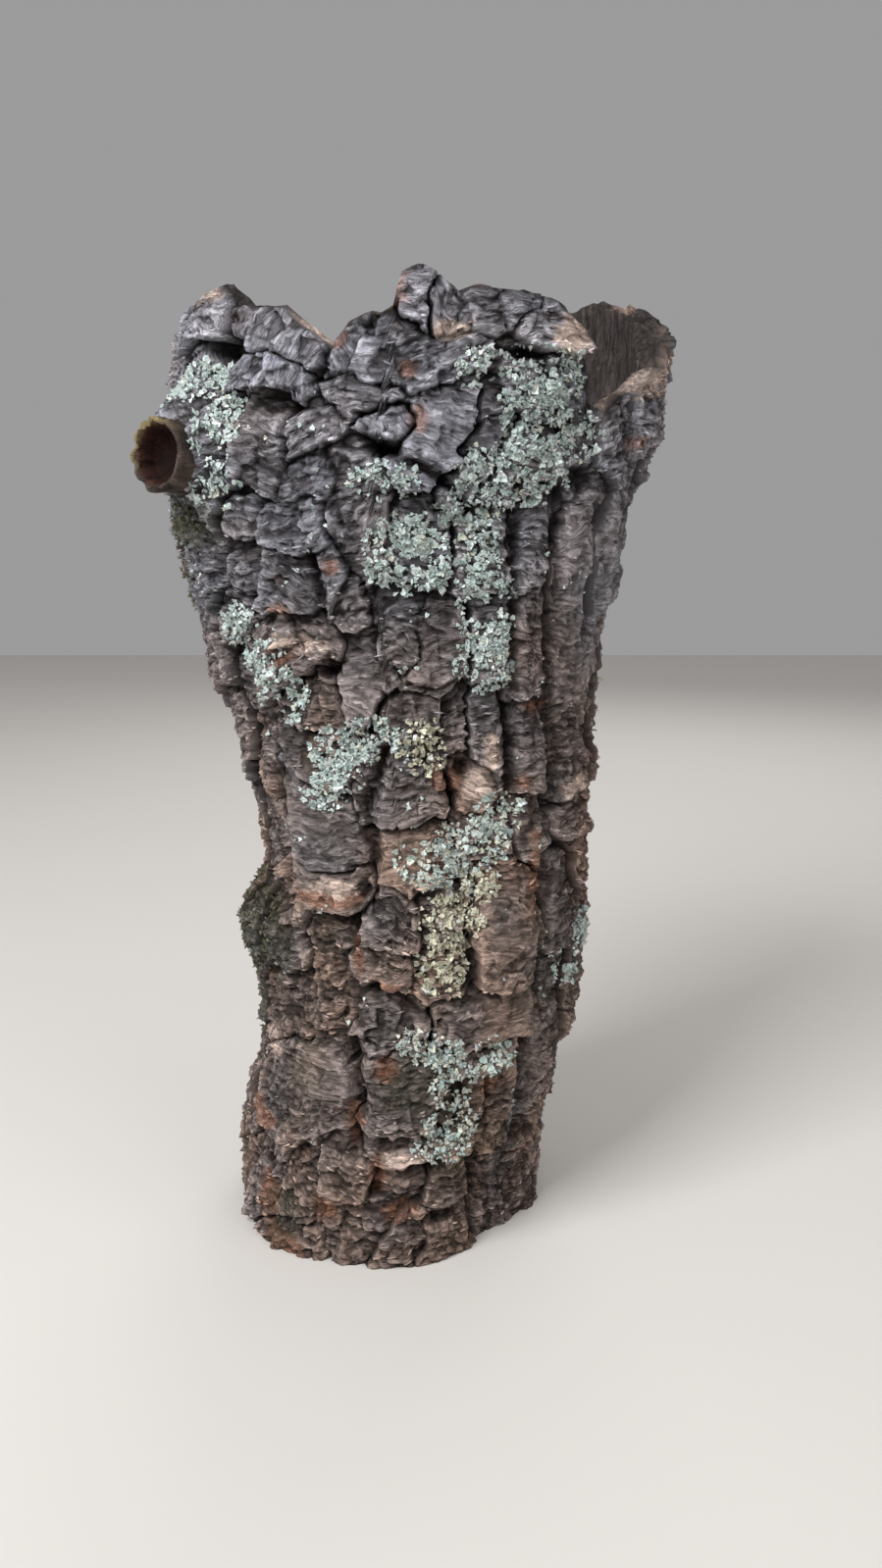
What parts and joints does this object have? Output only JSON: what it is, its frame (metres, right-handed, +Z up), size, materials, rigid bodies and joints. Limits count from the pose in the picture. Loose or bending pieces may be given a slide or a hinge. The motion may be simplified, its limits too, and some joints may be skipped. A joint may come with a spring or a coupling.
{
  "type": "cork branch",
  "caption": "Hollow cork-oak branch bark standing on its flat-cut end, with a furrowed surface, a broken flared rim, a side branch stub and leafy lichen.",
  "frame": {"origin": "middle of the branch's outline, at the base", "axes": "+Z up along the branch, -Y towards the side the picture shows, -X towards the side branch stub"},
  "size_m": [0.2594, 0.188, 0.4886],
  "materials": {
    "weathered_bark": "rough weathered grey-brown cork bark, matte",
    "dark_knot": "rough dark reddish-brown wood, matte",
    "grey_green_lichen": "dry leafy lichen, pale grey-green, matte",
    "yellow_lichen": "dry leafy lichen, pale yellow, matte"
  },
  "bodies": {
    "root": {"trunk": "weathered_bark", "branch_stub": "dark_knot", "lichen_crown": "grey_green_lichen", "lichen_shoulder": "grey_green_lichen", "lichen_middle": "grey_green_lichen", "lichen_left_flank": "grey_green_lichen", "lichen_waist": "grey_green_lichen", "lichen_pale_spot": "yellow_lichen", "lichen_centre": "grey_green_lichen", "lichen_yellow_strip": "yellow_lichen", "lichen_lower": "grey_green_lichen", "lichen_low_block": "grey_green_lichen", "lichen_right_edge": "grey_green_lichen", "lichen_collar": "grey_green_lichen", "lichen_right_side": "grey_green_lichen", "lichen_back_upper": "grey_green_lichen", "lichen_back_lower": "grey_green_lichen"}
  },
  "joints": []
}
